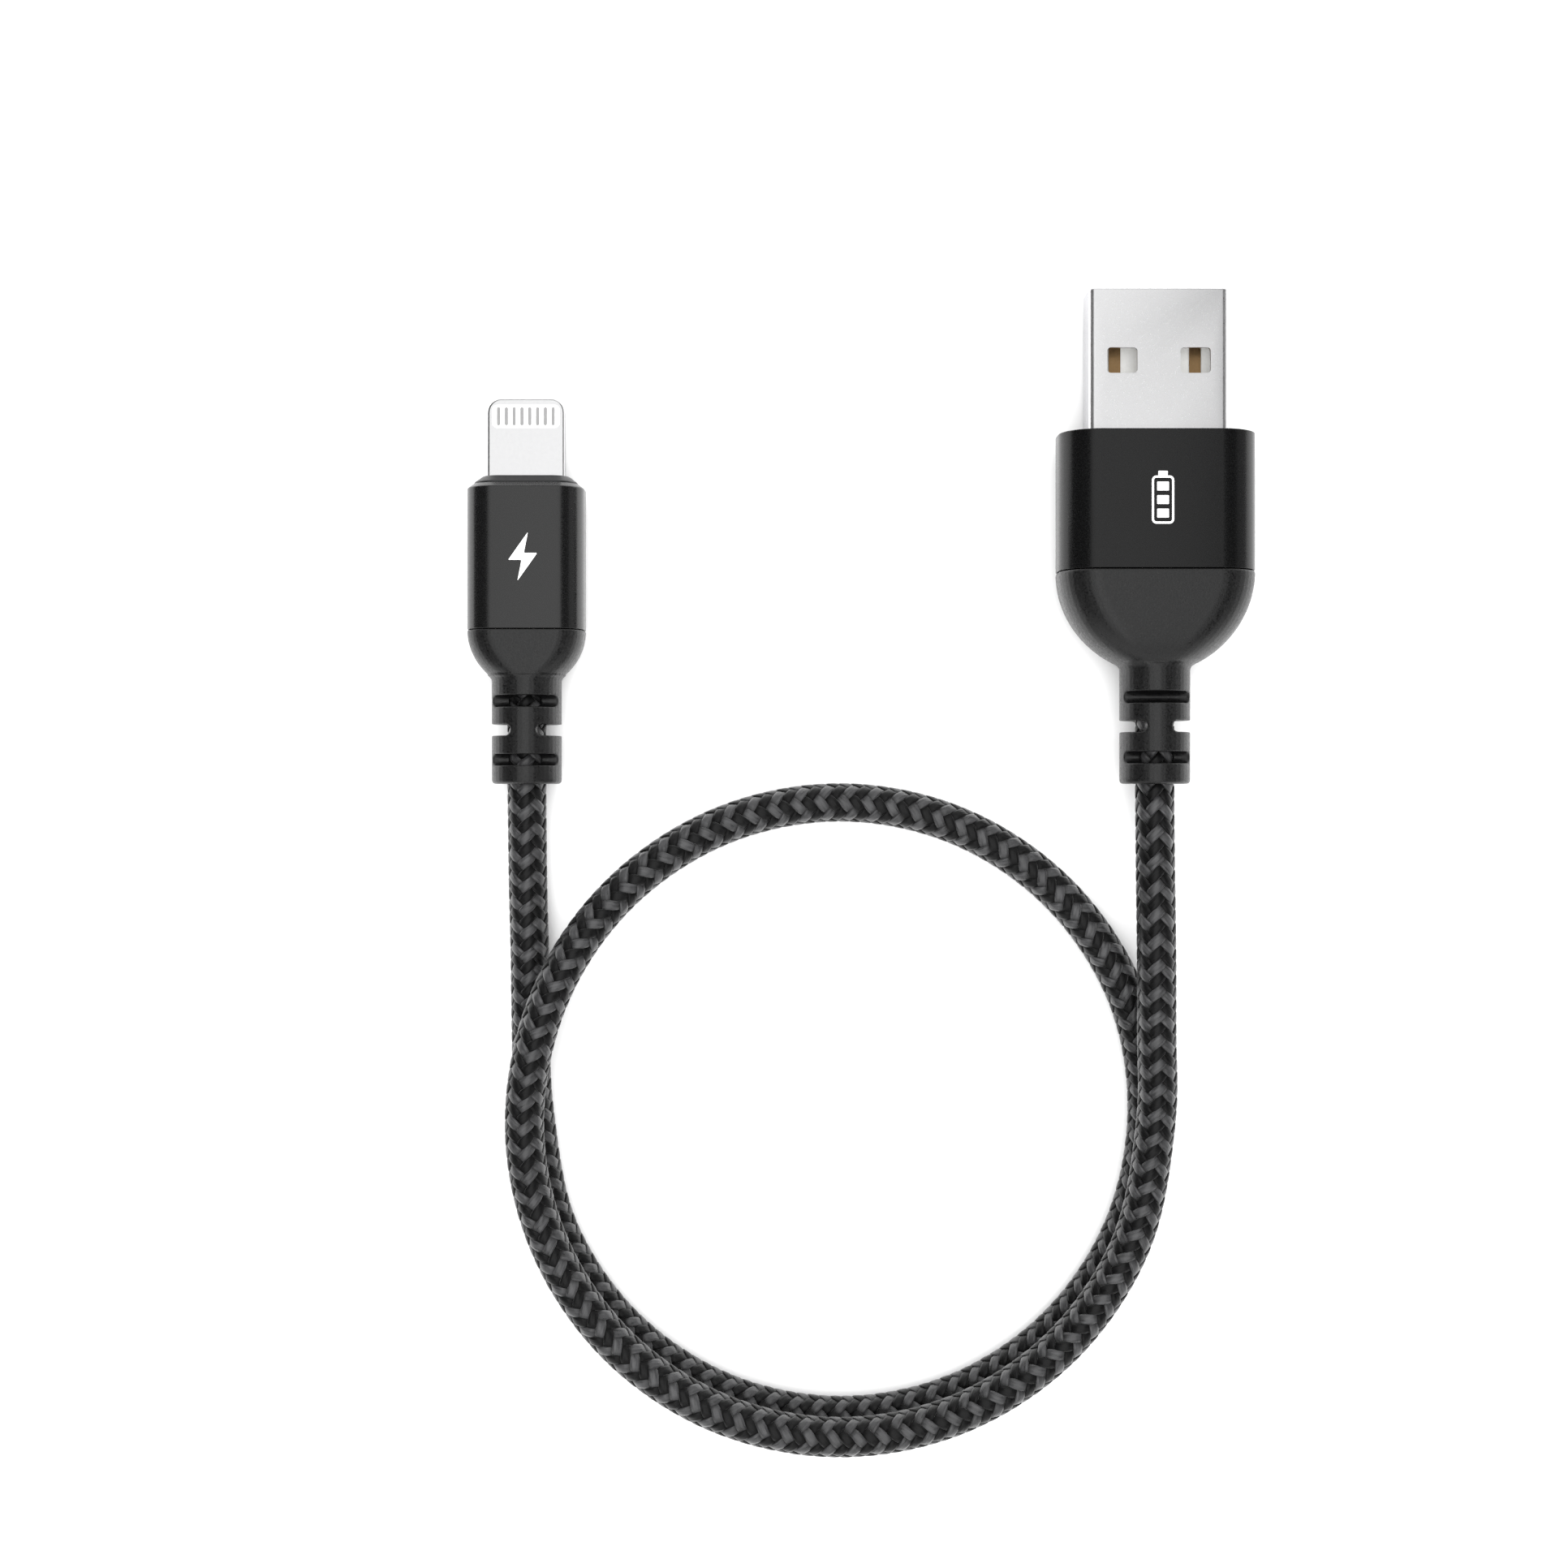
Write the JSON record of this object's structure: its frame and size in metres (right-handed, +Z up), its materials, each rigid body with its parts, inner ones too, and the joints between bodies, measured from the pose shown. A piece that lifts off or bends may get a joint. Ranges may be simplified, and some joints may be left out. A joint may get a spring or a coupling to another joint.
{
  "type": "charging cable",
  "caption": "Short braided charging cable in a flat loop, with a USB-A plug on one end and a slim phone plug on the other, each on a slotted flexible boot.",
  "frame": {"origin": "on the table, midway between the two connectors' outer edges in X and midway along the USB-A connector, from the mouth of its boot to the end of its shell, in Y", "axes": "+Z up from the table, +Y the way both plugs point, +X from the phone plug towards the USB-A plug"},
  "size_m": [0.0684, 0.1008, 0.0084],
  "materials": {
    "cord_braid": "tight braid of black and grey polyester yarn",
    "boot_rubber": "matte thermoplastic elastomer",
    "sleeve_black": "black anodised, fine bead blast",
    "front_plastic": "matte",
    "shell_steel": "satin nickel plate",
    "tab_steel": "polished",
    "core_plastic": "natural hard moulding",
    "tongue_plastic": "white, smooth",
    "block_plastic": "white, smooth",
    "contact_gold": "gold plated",
    "contact_pale": "pale plating",
    "board_green": "solder mask",
    "chip_black": "moulded epoxy",
    "ferrule_steel": "crimped",
    "wire_red": "insulation",
    "wire_white": "insulation",
    "wire_green": "insulation",
    "wire_black": "insulation"
  },
  "bodies": {
    "cord_body": {"cord": "cord_braid", "usb_boot_tail": "boot_rubber", "tip_boot_tail": "boot_rubber"},
    "usb_relief": {"usb_boot_ring": "boot_rubber", "usb_cord_link": "cord_braid"},
    "usb_plug": {"usb_cord_end": "cord_braid", "usb_boot_head": "boot_rubber", "usb_ferrule": "ferrule_steel", "usb_circuit_board": "board_green", "usb_board_chip": "chip_black", "usb_inner_mould": "core_plastic", "usb_sleeve": "sleeve_black", "usb_front_plate": "front_plastic", "usb_shell": "shell_steel", "usb_tongue": "tongue_plastic", "usb_contact_power": "contact_gold", "usb_contact_data_minus": "contact_gold", "usb_contact_data_plus": "contact_gold", "usb_contact_ground": "contact_gold", "usb_wire_red": "wire_red", "usb_wire_white": "wire_white", "usb_wire_green": "wire_green", "usb_wire_black": "wire_black"},
    "tip_relief": {"tip_boot_ring": "boot_rubber", "tip_cord_link": "cord_braid"},
    "tip_plug": {"tip_cord_end": "cord_braid", "tip_boot_head": "boot_rubber", "tip_ferrule": "ferrule_steel", "tip_circuit_board": "board_green", "tip_control_chip": "chip_black", "tip_inner_mould": "core_plastic", "tip_sleeve": "sleeve_black", "tip_front_collar": "front_plastic", "tip_tab_frame": "tab_steel", "tip_contact_block": "block_plastic", "tip_contacts_front": "contact_pale", "tip_contacts_back": "contact_pale", "tip_wire_red": "wire_red", "tip_wire_white": "wire_white", "tip_wire_green": "wire_green", "tip_wire_black": "wire_black"}
  },
  "joints": [
    {"name": "usb_boot_swing", "type": "hinge", "parent": "cord_body", "child": "usb_relief", "pos_m": [0.02565, -0.0162, 0.0042], "axis": [0, 0, 1], "range_deg": [-15, 15], "stiffness_Nm_per_rad": 0.02},
    {"name": "usb_boot_tilt", "type": "hinge", "parent": "usb_relief", "child": "usb_plug", "pos_m": [0.02565, -0.0137, 0.0042], "axis": [1, 0, 0], "range_deg": [0, 15], "stiffness_Nm_per_rad": 0.02},
    {"name": "tip_boot_swing", "type": "hinge", "parent": "cord_body", "child": "tip_relief", "pos_m": [-0.0291, -0.0165, 0.0031], "axis": [0, 0, 1], "range_deg": [-15, 15], "stiffness_Nm_per_rad": 0.02},
    {"name": "tip_boot_tilt", "type": "hinge", "parent": "tip_relief", "child": "tip_plug", "pos_m": [-0.0291, -0.014, 0.0031], "axis": [1, 0, 0], "range_deg": [0, 15], "stiffness_Nm_per_rad": 0.02}
  ]
}
